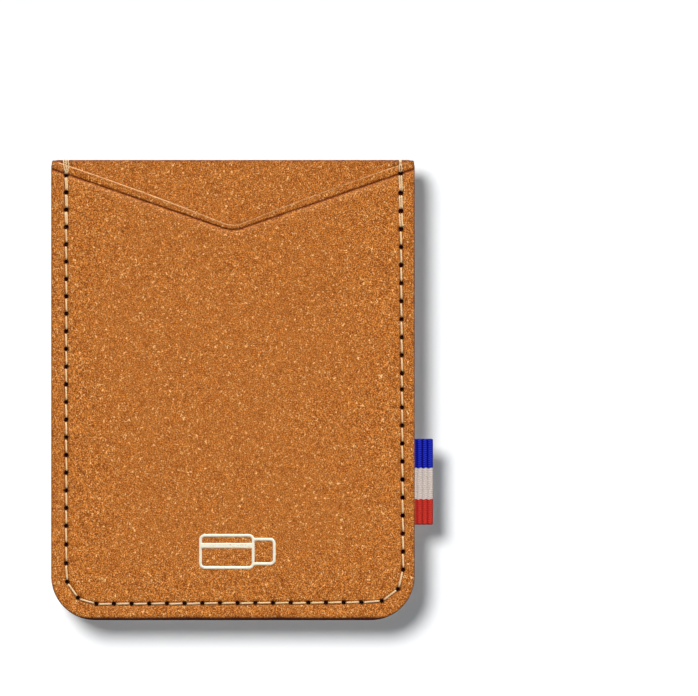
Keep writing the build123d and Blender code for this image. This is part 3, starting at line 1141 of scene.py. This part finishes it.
leather = leather_material()
for leather_piece in (make_front_panel(), make_back_panel(), make_spacer()):
    paint(leather_piece, leather)
thread = thread_material()
for thread_piece in make_threads():
    paint(thread_piece, thread)
paint(make_ribbon(), ribbon_material())
paint(make_adhesive(), adhesive_material())
paint(make_foil(), foil_material())


# ---- Stage, light and camera -----------------------------------------------------------

WALLET_CENTRE = Vector((0, middle_y, 0))
VIEW_WIDTH = 119.1  # of the scene, across the image
WALL_GAP = 6.0  # behind the wallet
FLOOR_GAP = 0.05  # under the wallet
STAGE_REACH = 900  # of the wall and the floor, each way
SKY_LIGHT = 0.17  # of the surroundings on the object. The camera sees them white.
CAMERA_OFFSET = Vector((19.8, 0, 7.17))  # the wallet stands left of the image's centre, and a little low
CAMERA_DISTANCE = 500


def stage_material(name, glow, one_sided):
    """Matt pale grey, that shines a little by itself. If one-sided, nothing is seen of it from behind."""
    finish = {
        "Base Color": (0.45, 0.45, 0.45, 1),
        "Roughness": 1.0,
        "Specular IOR Level": 0.0,
        "Emission Color": (*glow, 1),
        "Emission Strength": 1.0,
    }
    material, tree, shader = new_material(name, finish)
    if one_sided:
        output = tree.nodes["Material Output"]
        behind = add(tree, "NewGeometry").outputs["Backfacing"]
        clear = add(tree, "BsdfTransparent").outputs[0]
        both = add(tree, "MixShader", {0: behind, 1: shader.outputs[0], 2: clear}).outputs[0]
        tree.links.new(both, output.inputs["Surface"])
    return material


def add_plane(name, centre, across, up, material):
    """A square plane, only for the camera to see: it throws no shadow or light on the object."""
    signs = ((-1, -1), (1, -1), (1, 1), (-1, 1))
    corners = [centre + (across * a + up * b) * STAGE_REACH for a, b in signs]
    plane = add_piece(name, [tuple(c) for c in corners], [(0, 1, 2, 3)])
    paint(plane, material)
    for ray in ("diffuse", "glossy", "transmission", "shadow", "volume_scatter"):
        setattr(plane, "visible_" + ray, False)
    plane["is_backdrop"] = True
    return plane


def add_lamp(name, direction, strength, softness, receivers=None):
    """Even light from far away, of a softness in degrees. If receivers are given, it lights only those."""
    light = bpy.data.lights.new(name, "SUN")
    light.energy = strength
    light.angle = math.radians(softness)
    lamp = bpy.data.objects.new(name, light)
    bpy.context.scene.collection.objects.link(lamp)
    lamp.rotation_euler = Vector(direction).to_track_quat("Z", "Y").to_euler()
    if receivers:
        lamp.light_linking.receiver_collection = receivers


def receiver_group(name, objects):
    """A collection of the objects that a lamp lights."""
    group = bpy.data.collections.new(name)
    for item in objects:
        group.objects.link(item)
    return group


x_axis, y_axis, z_axis = Vector((1, 0, 0)), Vector((0, 1, 0)), Vector((0, 0, 1))
wall_material = stage_material("wall", (0.119, 0.142, 0.157), True)
floor_material = stage_material("floor", (0.18, 0.18, 0.18), False)
backdrop = add_plane("backdrop", y_axis * (rear_y + WALL_GAP), x_axis, z_axis, wall_material)
floor = add_plane("floor", z_axis * (bottom - FLOOR_GAP), x_axis, y_axis, floor_material)

add_lamp("wall_key", (-0.325, -1.0, 0.355), 6.4, 20, receiver_group("lit_wall", [backdrop]))
add_lamp("floor_key", (-0.5, -0.8, 1.6), 6.4, 34, receiver_group("lit_floor", [floor]))
add_lamp("object_key", (0.22, -1.0, 0.85), 3.3, 34, receiver_group("lit_object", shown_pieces()))
add_lamp("rear", (-0.5, 1.0, 0.7), 2.6, 40)

world = bpy.data.worlds.new("studio")
bpy.context.scene.world = world
world.use_nodes = True
sky = world.node_tree
is_camera = add(sky, "LightPath").outputs["Is Camera Ray"]
strength = add(sky, "MapRange", {"Value": is_camera, "To Min": SKY_LIGHT, "To Max": 1.0}).outputs["Result"]
sky.nodes["Background"].inputs["Color"].default_value = (1, 1, 1, 1)
sky.links.new(strength, sky.nodes["Background"].inputs["Strength"])

camera = bpy.data.cameras.new("camera")
camera.type = "ORTHO"
camera.ortho_scale = VIEW_WIDTH / METRE
camera.clip_start = 0.01
camera.clip_end = 10
viewer = bpy.data.objects.new("camera", camera)
bpy.context.scene.collection.objects.link(viewer)
viewer.location = (WALLET_CENTRE + CAMERA_OFFSET - y_axis * CAMERA_DISTANCE) / METRE
viewer.rotation_euler = (math.pi / 2, 0, 0)
bpy.context.scene.camera = viewer
bpy.context.scene.view_settings.view_transform = "Standard"
